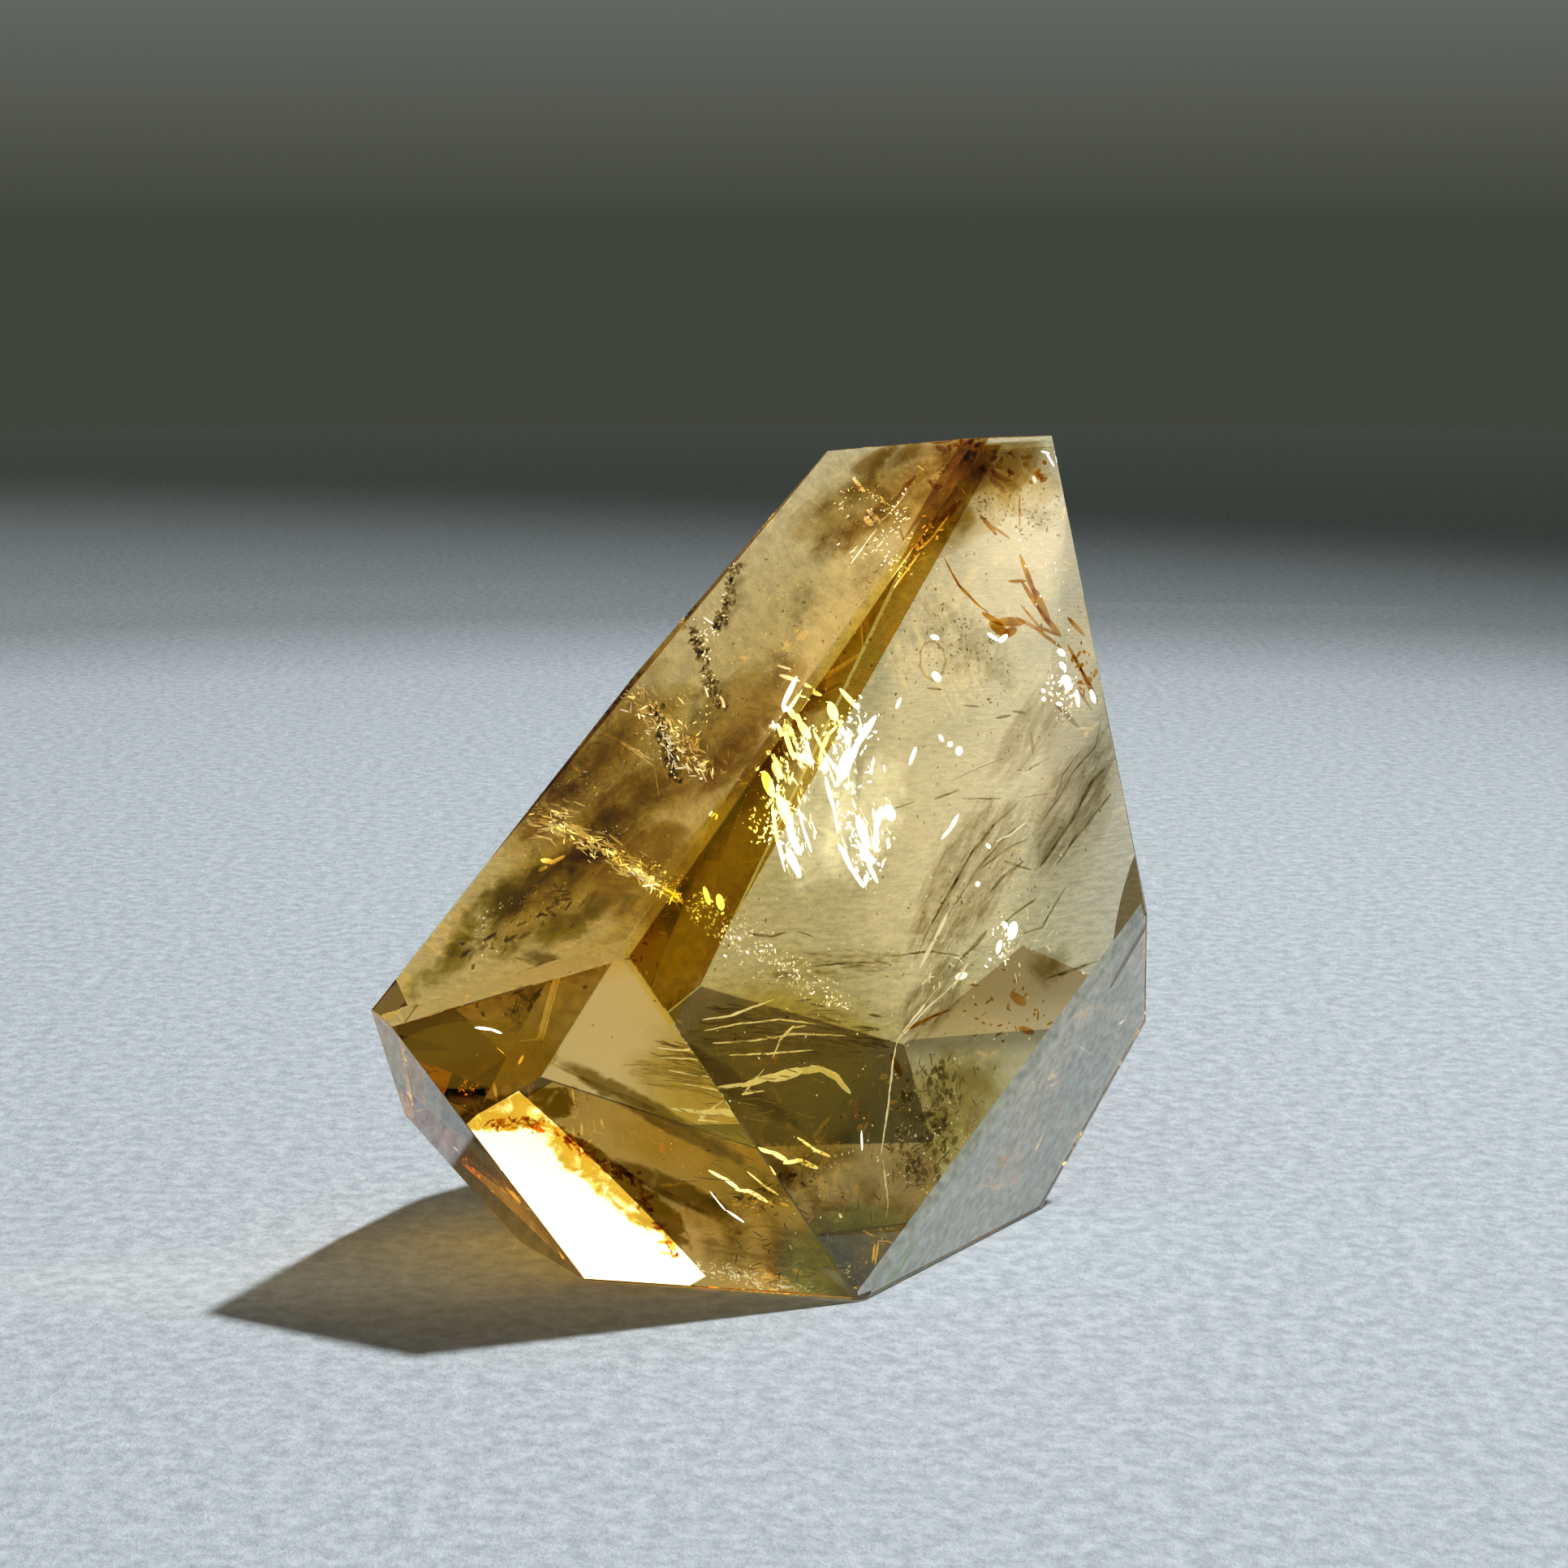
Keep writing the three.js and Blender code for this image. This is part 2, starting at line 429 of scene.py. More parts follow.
# %% Rust
RUST = [
    (0.23, 6, [(9.9, 13.8), (10.8, 12.2), (12.0, 11.0), (12.5, 10.6)]),
    (0.68, 6, [(12.4, 10.5), (13.3, 9.9), (14.6, 10.0)]),
    (0.79, 6, [(12.8, 9.8), (13.7, 9.2), (14.3, 9.5)]),
    (0.40, 6, [(14.5, 10.1), (15.7, 9.5), (16.9, 8.5)]),
    (0.28, 5.8, [(14.8, 10.8), (15.8, 9.6), (16.7, 9.2)]),
    (0.73, 5.5, [(14.6, 13.7), (15.4, 11.7), (16.2, 10.1), (16.9, 9.2)]),
    (0.40, 5.2, [(14.8, 12.2), (15.7, 10.9), (16.1, 10.2)]),
    (0.28, 5.8, [(14.0, 12.5), (14.8, 12.5)]),
    (0.34, 4.5, [(17.6, 10.1), (18.4, 9.3), (19.1, 8.4)]),
    (0.45, 4, [(17.6, 8.3), (18.4, 6.8), (19.2, 5.3)]),
    (0.40, 7, [(12.3, 16.4), (13.0, 15.5)]),
    (0.23, 7, [(13.0, 15.8), (13.8, 15.2)]),
    (0.23, 6, [(14.5, 17.7), (14.5, 15.7)]),
    (0.40, 8, [(12.3, 19.4), (13.7, 18.7)]),
    (0.45, 8, [(12.8, 18.8), (13.6, 18.1)]),
    (0.45, 7, [(9.7, 16.3), (10.7, 17.2)]),
    (0.57, 7, [(14.1, -13.0), (14.8, -13.5)]),
    (0.57, 8, [(14.6, -15.1), (15.3, -15.3)]),
    (0.51, 8, [(6.7, -16.8), (7.2, -17.8)]),
    (0.28, 7, [(7.8, -15.0), (9.2, -14.3), (10.1, -14.0)]),
]
RUST_DRIFTS = [
    (150, 0.6, 0.8, 0.40, 0.9, 12, [(-18.3, -21.2), (-16.1, -20.8), (-13.7, -21.4), (-11.5, -23.2),
     (-9.3, -24.2), (-8.2, -26.3), (-6.7, -29.3)]),
    (30, 2.8, 0.7, 0.23, 0.9, 7, [(11.2, -13.2), (13.7, -14.7), (15.2, -12.7)]),
    (30, 1.5, 0.8, 0.45, 0.9, 5, [(12.4, 20.3), (14.7, 19.8), (16.2, 19.3)]),
    (24, 1.1, 0.7, 0.34, 0.9, 4, [(17.9, 8.3), (18.9, 5.8)]),
]
trapped("rust", rust, RUST, RUST_DRIFTS)

# %% [markdown]
# A feathery veil crosses the stone from the shoulder under the ridge and down to the right.
# On the left it is hair-fine, on the right it breaks up into grains. Another one curls white
# over the dark part near the foot.

# %% Feathers
FEATHER = [
    (0.62, 9, [(-4.0, -18.8), (-2.3, -18.5), (-0.7, -18.0), (0.9, -17.7), (2.2, -17.6),
     (3.3, -18.2), (4.0, -19.0)]),
    (0.17, 9, [(-3.8, -19.5), (-2.5, -19.1), (-1.3, -18.9)]),
    (0.51, 9, [(1.9, -17.5), (3.2, -17.9), (3.7, -18.7)]),
    (0.17, 7, [(11.0, -11.7), (10.0, -12.8), (8.9, -13.7), (7.9, -14.8), (7.0, -15.8)]),
    (0.17, 7, [(9.5, -12.5), (8.2, -14.2), (7.0, -15.7)]),
    (0.17, 7.5, [(7.0, -15.8), (6.7, -17.0), (6.5, -19.2), (6.3, -20.7), (6.0, -22.7)]),
    (0.14, 7.5, [(6.1, -23.2), (6.4, -25.7), (6.3, -26.7)]),
    (0.40, 6.5, [(9.9, -8.3), (9.2, -9.7), (8.5, -11.1)]),
    (0.23, 6, [(11.2, -11.2), (10.5, -12.4)]),
    (0.28, 2.5, [(0.9, 18.2), (1.7, 17.6), (2.4, 16.9)]),
    (0.23, 4, [(-12.2, 3.6), (-11.1, 3.1), (-9.8, 2.5), (-8.3, 1.6)]),
    (0.17, 4, [(-10.9, 3.1), (-9.5, 2.2), (-8.0, 1.1), (-7.7, -0.7)]),
    (0.17, 4, [(-13.3, 3.8), (-12.1, 3.5)]),
    (0.17, 9, [(-0.6, -16.7), (-0.2, -15.7), (0.5, -15.0), (1.2, -14.9)]),
    (0.17, 9, [(-4.9, -14.5), (-3.3, -14.3), (-1.8, -13.7), (-0.7, -13.3)]),
    (0.17, 9, [(-4.3, -16.0), (-1.8, -15.8), (0.7, -15.4), (3.7, -15.5)]),
    (0.14, 9, [(-3.3, -16.7), (-0.8, -16.6), (1.7, -16.4)]),
    (0.14, 9, [(-4.8, -15.2), (-3.0, -14.8), (-0.3, -14.5), (2.2, -14.8)]),
    (0.17, 3, [(13.1, -3.5), (14.0, -3.1), (14.8, -2.5)]),
    (0.17, 5, [(18.5, -11.7), (19.2, -12.5)]),
    (0.23, 3, [(18.2, -16.2), (19.0, -16.7)]),
]
FEATHER_DRIFTS = [
    (220, 15.8, 0.2, 0.15, 1, 5, [(13.7, 16.3), (10.7, 3.3), (7.7, -11.7), (5.7, -25.7)]),
    (120, 9.6, 0.2, 0.15, 1, 3, [(4.7, 17.3), (-3.3, 7.3), (-16.3, -7.7)]),
    (230, 1.5, 1.4, 0.18, 0.25, 3, [(-15.8, -1.7), (-13.3, -2.6), (-11.1, -4.0), (-9.1, -5.3),
     (-6.8, -7.1)]),
    (200, 1.1, 0.3, 0.16, 1, 7, [(-5.8, -7.1), (-4.0, -8.7), (-2.5, -9.9), (-0.3, -10.9),
     (1.7, -12.4), (4.0, -13.7)]),
    (170, 2.4, 1.1, 0.17, 0.4, 3, [(-9.6, 5.8), (-6.8, 3.0), (-4.7, 0.6)]),
    (70, 1.5, 0.5, 0.14, 1, 5, [(12.2, 17.4), (14.7, 16.7), (17.2, 16.3)]),
    (90, 0.8, 0.5, 0.20, 1, 6, [(-5.3, -29.7), (-1.8, -30.7), (1.7, -31.5)]),
    (40, 1.7, 1.4, 0.11, 0.8, 5, [(4.7, 18.3), (7.2, 17.3), (4.7, 14.3)]),
    (40, 1.7, 0.9, 0.11, 1, 6, [(8.2, -11.7), (13.2, -10.7), (16.2, -8.7)]),
]
trapped("feathers", feather, FEATHER, FEATHER_DRIFTS)

# %% [markdown]
# The dark lower part is not empty either. Fine combed feathers lie in it, with only a faint painted
# glow.

# %% Dim feathers
DIM_DRIFTS = [
    (50, 1.2, 3.4, 0.10, 0.1, 9, [(-4.3, -15.6), (0.7, -15.5), (5.7, -15.9)]),
    (50, 5.1, 2.8, 0.10, 0.2, 8, [(-3.3, -18.7), (1.7, -19.2)]),
    (150, 3.4, 1.2, 0.10, 1, 7, [(9.2, -16.9), (8.7, -21.2), (8.2, -24.7)]),
    (120, 4.0, 1.1, 0.10, 1, 6, [(1.7, -25.7), (4.7, -28.7), (-3.3, -29.7)]),
]
trapped("dim_feathers", dim_feather, drifts=DIM_DRIFTS)

# %% [markdown]
# Beside the ridge a shattered veil faces the lamp, and its shards blaze white and yellow.
# They are the brightest thing inside the stone, and their blaze is a painted glow of their own.

# %% Sunlit shards
SUNLIT = [
    (0.71, 1.5, [(-1.2, 0.6), (-0.7, -0.5)]),
    (0.77, 1.5, [(-0.3, -0.9), (0.3, -2.5), (0.8, -4.0)]),
    (0.47, 1.5, [(0.3, -4.2), (0.9, -5.5)]),
    (0.29, 1.5, [(-0.7, -1.7), (-0.4, -3.5), (0.0, -5.1)]),
    (0.24, 1.5, [(0.9, -1.7), (1.6, -4.0)]),
    (0.47, 1.5, [(-0.4, 3.5), (0.5, 1.8), (1.6, 1.3)]),
    (0.65, 1.5, [(0.3, 4.7), (1.0, 3.8), (1.5, 3.0)]),
    (0.29, 1.5, [(1.9, 3.0), (2.6, 1.8), (3.3, 0.7)]),
    (0.77, 1.5, [(5.5, 4.0), (4.5, 2.5), (4.0, 1.3)]),
    (0.94, 1.5, [(4.0, 1.9), (3.5, 0.4)]),
    (0.59, 1.5, [(2.8, 4.9), (3.1, 4.1)]),
    (0.41, 1.5, [(3.6, 5.7), (4.4, 4.7)]),
    (0.35, 1.5, [(2.6, 0.2), (3.0, -1.2), (3.3, -2.7)]),
    (0.47, 1.5, [(3.6, -4.0), (4.2, -5.2), (4.8, -6.2)]),
    (0.47, 1.5, [(4.6, -3.7), (5.2, -4.9), (5.7, -5.9)]),
    (0.77, 1.5, [(4.6, -2.3), (5.1, -3.7)]),
    (0.53, 1.5, [(6.0, -1.6), (5.7, -2.7), (5.6, -3.9)]),
    (0.65, 1.5, [(6.3, -1.4), (6.6, -2.1)]),
    (0.35, 1.5, [(2.3, 2.0), (2.7, 3.0), (3.2, 3.5)]),
    (0.35, 1.5, [(10.7, -2.0), (10.3, -2.7), (9.8, -3.3)]),
    (0.35, 1.5, [(8.1, 2.1), (7.8, 1.3)]),
    (0.41, 1.5, [(7.0, 4.7), (7.2, 5.2)]),
    (0.29, 1.5, [(9.6, 3.0), (9.8, 2.7)]),
    (0.49, 1.5, [(10.1, 2.5), (10.3, 2.4)]),
    (0.49, 1.5, [(10.7, 2.2), (10.9, 1.9)]),
    (0.47, 1.5, [(0.6, 6.4), (0.0, 5.0)]),
    (0.53, 1.5, [(-4.5, -1.8), (-4.1, -2.1)]),
    (0.41, 1.5, [(-4.9, -6.5), (-4.6, -7.3)]),
    (0.58, 1.5, [(-4.1, -7.0), (-3.9, -7.7)]),
    (0.35, 10, [(-1.6, -22.4), (-0.7, -22.7), (0.1, -23.1)]),
    (0.41, 10, [(0.1, -23.3), (0.9, -23.2), (1.9, -23.6)]),
    (0.24, 10, [(1.0, -21.9), (1.9, -22.5), (2.7, -22.9)]),
    (0.15, 1.5, [(-4.5, -25.2), (-3.7, -26.2)]),
    (0.20, 1.5, [(-3.4, -26.4), (-2.6, -26.9)]),
    (0.29, 1.5, [(-18.9, -15.0), (-18.1, -15.1), (-17.5, -15.3)]),
    (0.41, 4, [(-14.9, -4.7), (-14.2, -4.8), (-13.6, -4.5)]),
    (0.49, 4, [(-15.1, -5.3), (-14.7, -5.1)]),
    (0.47, 6, [(13.5, -8.5), (13.7, -8.8)]),
    (0.66, 6, [(14.2, -8.7), (14.0, -9.5)]),
    (0.49, 6.5, [(13.3, -9.7), (13.1, -10.3)]),
    (0.58, 6.5, [(10.7, -12.0), (11.2, -11.8)]),
    (0.29, 6, [(12.5, -3.7), (12.7, -3.9)]),
    (0.33, 6, [(11.8, -6.2), (12.0, -6.2)]),
    (0.35, 1.5, [(9.1, 9.1), (9.5, 9.0)]),
    (0.49, 1.5, [(9.2, 6.8), (9.6, 6.5)]),
    (0.41, 4.5, [(18.0, 5.7), (18.1, 4.9)]),
    (0.49, 4, [(18.9, 5.7), (19.1, 5.1)]),
    (0.29, 5.5, [(12.6, 9.2), (13.1, 8.9)]),
    (0.41, 5.5, [(13.3, 8.8), (13.7, 9.1)]),
    (0.18, 0.6, [(17.8, 15.2), (17.9, 15.0)]),
    (0.24, 0.6, [(18.1, 13.9), (18.1, 13.7)]),
]
SUNLIT_DRIFTS = [
    (40, 0.8, 0.3, 0.16, 1, 7, [(-5.8, -7.0), (-4.0, -8.7), (-2.5, -9.9), (-0.3, -10.9),
     (1.7, -12.4), (4.0, -13.7)]),
    (60, 1.2, 0.3, 0.17, 1, 0.8, [(-1.8, -1.7), (-0.8, -3.5), (-0.1, -0.9)]),
    (60, 1.2, 0.5, 0.19, 0.5, 0.8, [(-0.8, 1.3), (-0.1, -1.7), (0.9, -4.7)]),
    (60, 1.6, 0.5, 0.19, 0.5, 0.8, [(0.9, 3.8), (3.7, 4.3), (5.5, 3.3), (3.7, 0.3)]),
    (40, 1.0, 0.5, 0.19, 0.5, 0.8, [(3.2, -1.2), (4.7, -4.2), (5.7, -5.7)]),
    (30, 0.9, 0.3, 0.23, 1, 4.5, [(16.2, 5.8), (17.4, 6.3), (17.9, 5.0)]),
    (26, 1.2, 0.3, 0.20, 1, 6, [(13.4, -8.7), (13.5, -11.2)]),
    (30, 1.5, 0.3, 0.17, 1, 4, [(-5.3, 10.8), (-4.3, 5.3), (-6.0, 1.3)]),
    (70, 1.1, 0.8, 0.15, 0.5, 2.6, [(-15.8, -1.7), (-11.1, -4.0), (-9.1, -5.3), (-6.8, -7.1)]),
    (50, 2.3, 0.6, 0.15, 0.7, 2.6, [(-9.6, 5.8), (-6.8, 3.0), (-4.7, 0.6)]),
    (40, 1.7, 0.4, 0.12, 1, 3, [(4.7, 18.3), (7.7, 16.3), (3.7, 13.8)]),
]
trapped("sunlit_shards", sunlit, SUNLIT, SUNLIT_DRIFTS)

# %% [markdown]
# Here and there a single droplet or chip catches the light and sparkles bluish white, a
# painted glow of its own. These are the same spindles, very short, near the right edge, in the
# crown and on the shoulder.

# %% Sparkles
SPARKLES = [
    (0.48, 4.5, [(16.9, 8.2), (17.2, 7.9)]),
    (0.43, 4.5, [(17.0, 7.4), (17.3, 7.1)]),
    (0.58, 4.5, [(17.2, 6.6), (17.6, 6.3)]),
    (0.48, 4.5, [(17.4, 5.8), (17.7, 6.0)]),
    (0.29, 5, [(15.9, 5.8), (16.1, 5.7)]),
    (0.29, 5, [(15.9, 5.2), (16.1, 5.2)]),
    (0.34, 5, [(16.8, 5.0), (17.1, 4.9)]),
    (0.24, 3, [(16.2, 20.3), (16.6, 19.7)]),
    (0.24, 3, [(15.9, 20.5), (16.3, 20.4)]),
    (0.24, 5, [(15.4, 18.9), (15.5, 18.6)]),
    (0.43, 5, [(5.0, 16.4), (5.4, 16.0)]),
    (0.34, 5, [(5.2, 16.8), (5.8, 16.3)]),
    (0.24, 5, [(4.3, 18.7), (4.9, 18.1)]),
    (0.24, 5, [(6.0, 17.7), (6.2, 17.3)]),
    (0.29, 5, [(8.3, 19.6), (8.6, 19.4)]),
    (0.19, 5, [(7.5, 17.9), (6.7, 16.9), (6.0, 16.2)]),
    (0.19, 5, [(5.6, 15.6), (4.8, 14.5), (4.2, 13.7)]),
    (0.24, 4, [(-3.9, 10.7), (-3.7, 10.4)]),
    (0.29, 4, [(-4.9, 10.2), (-4.4, 9.9)]),
    (0.29, 4, [(-4.9, 5.9), (-4.7, 5.4)]),
    (0.29, 4, [(-3.9, 5.3), (-3.7, 4.8)]),
    (0.24, 4, [(-6.0, 1.1), (-5.7, 0.8)]),
    (0.24, 4, [(-6.5, 5.3), (-6.2, 5.0)]),
    (0.19, 3, [(-0.3, 7.3), (0.3, 7.1)]),
    (0.29, 3, [(-0.1, 6.7), (0.8, 6.4)]),
    (0.24, 10, [(3.4, -26.5), (3.5, -26.7)]),
    (0.24, 2, [(20.6, -14.8), (20.9, -14.6)]),
    (0.19, 2, [(-20.3, -22.4), (-20.1, -22.6)]),
    (0.19, 8, [(4.8, -21.5), (4.8, -22.4)]),
]
SPARKLE_DRIFTS = [
    (60, 1.5, 0.3, 0.15, 1, 2.5, [(3.2, 17.8), (7.2, 17.1), (6.2, 13.3)]),
    (60, 1.1, 0.2, 0.15, 1, 3.4, [(-3.0, 13.8), (-4.1, 9.6), (-5.4, 8.8), (-3.9, 4.7)]),
    (40, 1.2, 0.2, 0.14, 1, 3.6, [(-8.0, 5.0), (-6.6, 0.2)]),
    (30, 1.7, 0.2, 0.14, 1, 4, [(15.2, 16.3), (17.2, 7.3), (18.2, 3.3)]),
]
trapped("sparkles", sparkle, SPARKLES, SPARKLE_DRIFTS)

# %% [markdown]
# Most of what clouds a natural quartz has no outline at all: stains, haze and sheets of
# droplets that fade out at the rim. Such a veil is a lens that faces the eye, as clear as the
# stone around it. Each of its points remembers how near the middle it lies, and the finish
# adds cloudy noise to that, so that the stain has a ragged edge and stays inside the lens.

# %% Veils
LENS_BULGE = 0.12
LENS_SKIN = 0.2
NOISE_CONTRAST = 3.0


def cut_away(bm, place, away):
    """Cuts a closed mesh at a plane, drops what lies beyond it and closes the cut."""
    bmesh.ops.bisect_plane(bm, geom=bm.verts[:] + bm.edges[:] + bm.faces[:], plane_co=place,
                           plane_no=away, clear_outer=True)
    rim = [edge for edge in bm.edges if edge.is_boundary]
    if rim:
        bmesh.ops.holes_fill(bm, edges=rim)


def lens(bm, right, up, depth, wide, high, turn):
    """A flat lens at a place on the sheet, turned about the line of sight in degrees."""
    part = bmesh.new()
    core = part.verts.layers.float.new("core")
    enter, way = sight(right, up)
    level = GAZE @ Vector((1, 0, 0))
    level = (level - way * level.dot(way)).normalized()
    across = Matrix.Rotation(-math.radians(turn), 3, way) @ level
    upright = across.cross(way)
    bulge = LENS_BULGE * min(wide, high)
    shape = Matrix((across * wide / 2, upright * high / 2, way * bulge / 2)) * MM
    bmesh.ops.create_uvsphere(part, u_segments=28, v_segments=10, radius=1.0)
    for vert in part.verts:
        vert[core] = 1.0 - vert.co.x ** 2 - vert.co.y ** 2
    bmesh.ops.transform(part, matrix=shape.transposed().to_4x4(), verts=part.verts)
    bmesh.ops.translate(part, verts=part.verts, vec=enter + way * depth * MM)
    for middle, normal in FLATS:
        cut_away(part, middle - normal * LENS_SKIN * MM, normal)
    joined = bpy.data.meshes.new("lens")
    part.to_mesh(joined)
    part.free()
    bm.from_mesh(joined)
    bpy.data.meshes.remove(joined)


def math_node(nodes, operation, *values):
    """A math node whose second and later inputs hold the given values."""
    node = nodes.new("ShaderNodeMath")
    node.operation = operation
    for socket, value in zip(node.inputs[1:], values):
        socket.default_value = value
    return node


def veil_finish(name, tint, scale, edge, soft, fill=1.0, glow=None, strength=0.0,
                stretch=1, heading=0):
    """Clear at the rim, and tinted or with a painted glow where core plus noise passes the edge."""
    material, nodes, links, shader = new_finish(name, 0.0, UNBENT, 1.0)
    coords = nodes.new("ShaderNodeTexCoord")
    place = nodes.new("ShaderNodeMapping")
    place.vector_type = "TEXTURE"
    place.inputs["Rotation"].default_value = (0.0, math.radians(heading), 0.0)
    place.inputs["Scale"].default_value = (stretch, 1.0, 1.0)
    grain = nodes.new("ShaderNodeTexNoise")
    grain.inputs["Scale"].default_value = scale
    grain.inputs["Detail"].default_value = 8.0
    grain.inputs["Roughness"].default_value = 0.62
    grain.inputs["Distortion"].default_value = 0.6
    nearness = nodes.new("ShaderNodeAttribute")
    nearness.attribute_name = "core"
    ragged = math_node(nodes, "MULTIPLY_ADD", NOISE_CONTRAST, 0.5 - 0.5 * NOISE_CONTRAST)
    filled = math_node(nodes, "MULTIPLY", fill)
    filled.use_clamp = True
    both = math_node(nodes, "ADD", 0.0)
    links.new(coords.outputs["Object"], place.inputs["Vector"])
    links.new(place.outputs["Vector"], grain.inputs["Vector"])
    links.new(grain.outputs["Fac"], ragged.inputs[0])
    links.new(nearness.outputs["Fac"], filled.inputs[0])
    links.new(ragged.outputs["Value"], both.inputs[0])
    links.new(filled.outputs["Value"], both.inputs[1])
    spread = nodes.new("ShaderNodeMapRange")
    spread.inputs["From Min"].default_value = 1.0 + edge
    spread.inputs["From Max"].default_value = 1.0 + edge + soft
    links.new(both.outputs["Value"], spread.inputs["Value"])
    for socket, clear, full in (("Base Color", (1, 1, 1), tint), ("Emission Color", (0, 0, 0), glow)):
        if full is None:
            continue
        blend = nodes.new("ShaderNodeMix")
        blend.data_type = "RGBA"
        blend.inputs["A"].default_value = (*clear, 1)
        blend.inputs["B"].default_value = (*full, 1)
        links.new(spread.outputs["Result"], blend.inputs["Factor"])
        links.new(blend.outputs["Result"], shader.inputs[socket])
    shader.inputs["Emission Strength"].default_value = strength
    return material


def veils(name, material, rows):
    """One piece of several lenses: right, up, depth, width, height and turn of each."""
    bm = bmesh.new()
    bm.verts.layers.float.new("core")
    for row in rows:
        lens(bm, *row)
    return keep_piece(name, bm, material)


# %% [markdown]
# Brown and olive stains lie under the shoulder and the crown, and smoky patches beside the
# ridge. Each is a tint that multiplies what shines through it. A wash is weak and wide,
# a stain is strong and ragged.

# %% Stains under the shoulder
veils("brown_washes", veil_finish("brown_wash", (0.66, 0.54, 0.26), 260, -0.6, 0.9), [
    (7.2, 18.3, 2.6, 16.9, 8.5, 10),
    (-11.8, 1.8, 2.4, 16.9, 9.6, 46),
    (13.9, 19.3, 3, 9.6, 6.2, 0),
    (-3.3, 3.3, 2.4, 14.7, 6.8, 55),
])
veils("shoulder_wash",
      veil_finish("shoulder_wash", (0.82, 0.74, 0.42), 300, -0.5, 0.9, fill=2.0), [
    (-11.1, -0.9, 2.6, 19.2, 11.3, 50),
    (-12.5, -4.0, 2, 14.7, 6.2, 44),
])
veils("low_shoulder_wash",
      veil_finish("low_shoulder_wash", (0.68, 0.60, 0.30), 420, -0.55, 0.8, fill=2.0), [
    (-12.6, -6.2, 1.6, 15.3, 6.3, 22),
    (-8.8, -5.5, 1.6, 8.5, 6.8, 50),
])
# The band wash also carries a faint painted amber glow.
veils("band_wash",
      veil_finish("band_wash", (0.72, 0.66, 0.22), 300, -0.8, 0.6, fill=1.8,
                  glow=(1.0, 0.60, 0.05), strength=0.03), [
    (-4.6, -6.2, 0.55, 13.0, 5.4, 60),
    (-2.4, -2.7, 0.55, 8.5, 4.0, 60),
])
veils("brown_stains", veil_finish("brown_stain", (0.42, 0.31, 0.08), 520, -0.1, 0.7), [
    (6.7, 18.3, 3.5, 14.1, 6.8, 8),
    (-12.6, 1.1, 3, 14.7, 7.9, 48),
    (3.7, 15.1, 3.5, 7.9, 4.5, 40),
    (13.9, 19.7, 4, 8.5, 5.1, 0),
    (-3.0, 2.0, 3.5, 6.2, 11.3, -42),
    (-13.3, -4.7, 3.2, 7.9, 2.8, 10),
    (7.2, 20.3, 3, 10.2, 2.8, 5),
    (-9.6, -1.2, 3.4, 14.7, 6.8, 50),
    (-13.8, -0.9, 2.6, 11.3, 5.1, 46),
])
veils("olive_stains", veil_finish("olive_stain", (0.40, 0.37, 0.08), 460, -0.15, 0.7), [
    (-15.1, -6.0, 3, 12.4, 6.2, 24),
    (-17.8, -7.7, 2.2, 12.4, 5.7, 42),
    (-13.8, -8.9, 2.6, 13.6, 4.0, 14),
    (-21.1, -11.4, 2, 8.5, 3.4, 34),
    (-10.3, -2.2, 4, 6.2, 4.0, 30),
])
veils("smoky_stains", veil_finish("smoky_stain", (0.50, 0.47, 0.36), 700, 0, 0.8), [
    (1.2, 11.1, 3.5, 4.5, 5.7, -20),
    (-0.6, 6.5, 3, 5.1, 4.5, 30),
    (-4.8, 4.3, 4, 4.5, 12.4, -8),
    (-3.0, 11.6, 3.5, 2.8, 9.0, -5),
    (11.2, 8.8, 8, 14.7, 6.2, -28),
    (16.2, 16.3, 5, 6.2, 2.8, -10),
])

# %% [markdown]
# Lower down the tint is a mottled brown: behind the lower window, in the corner at its
# right, where the darker brown is painted shade, and in the foot beside the bright patch. Soft
# shadow lines cross the foot, and a ragged yellow rim runs round the patch.

# %% Stains and painted shade behind the window and the foot
veils("low_stains", veil_finish("low_stain", (0.42, 0.35, 0.16), 520, -0.1, 0.9), [
    (10.2, -20.2, 8, 10.7, 14.1, -20),
    (4.2, -26.7, 7, 15.8, 11.3, 0),
    (8.2, -29.7, 5, 7.9, 6.2, 30),
    (16.2, -11.2, 5, 5.1, 4.0, 30),
    (-3.3, -27.7, 7, 15.3, 7.9, -20),
    (2.2, -22.7, 8, 7.9, 5.1, 0),
    (4.7, -30.9, 4, 6.2, 4.0, 0),
])
veils("right_wash",
      veil_finish("grey_wash", (0.84, 0.81, 0.74), 260, -0.6, 0.9, fill=2.0), [
    (18.4, 3.3, 6, 7.3, 24.3, -8),
])
veils("olive_washes", veil_finish("olive_wash", (0.72, 0.68, 0.36), 220, -0.5, 0.9), [
    (0.9, -18.7, 10, 19.2, 19.2, -10),
    (5.5, -28.9, 4, 8.5, 7.9, 0),
    (10.7, -21.7, 6, 11.3, 13.6, -20),
])
# The corner lens is painted shade: a dark brown tint at the window's right corner.
veils("painted_corner_shade", veil_finish("painted_corner_shade", (0.34, 0.27, 0.16), 400, -0.9, 0.4), [
    (21.9, -7.6, 1.6, 3.3, 11.9, -14),
])
veils("shadow_lines",
      veil_finish("shadow_line", (0.34, 0.28, 0.12), 500, -0.3, 0.7, fill=1.6), [
    (-8.3, -20.1, 12, 16.4, 2.0, -30),
    (-6.5, -25.2, 12, 10.7, 2.3, -26),
])
veils("yellow_rim",
      veil_finish("yellow_rim", (0.30, 0.23, 0.04), 700, 0.05, 0.3, fill=1.6), [
    (-16.3, -20.1, 9, 11.3, 3.4, 18),
    (-10.5, -24.6, 9, 17.5, 4.0, -41),
])

# %% [markdown]
# On the right the stains are drawn out into hair. The noise is stretched many times along
# the hair's direction, and a high edge leaves only its strongest strands.

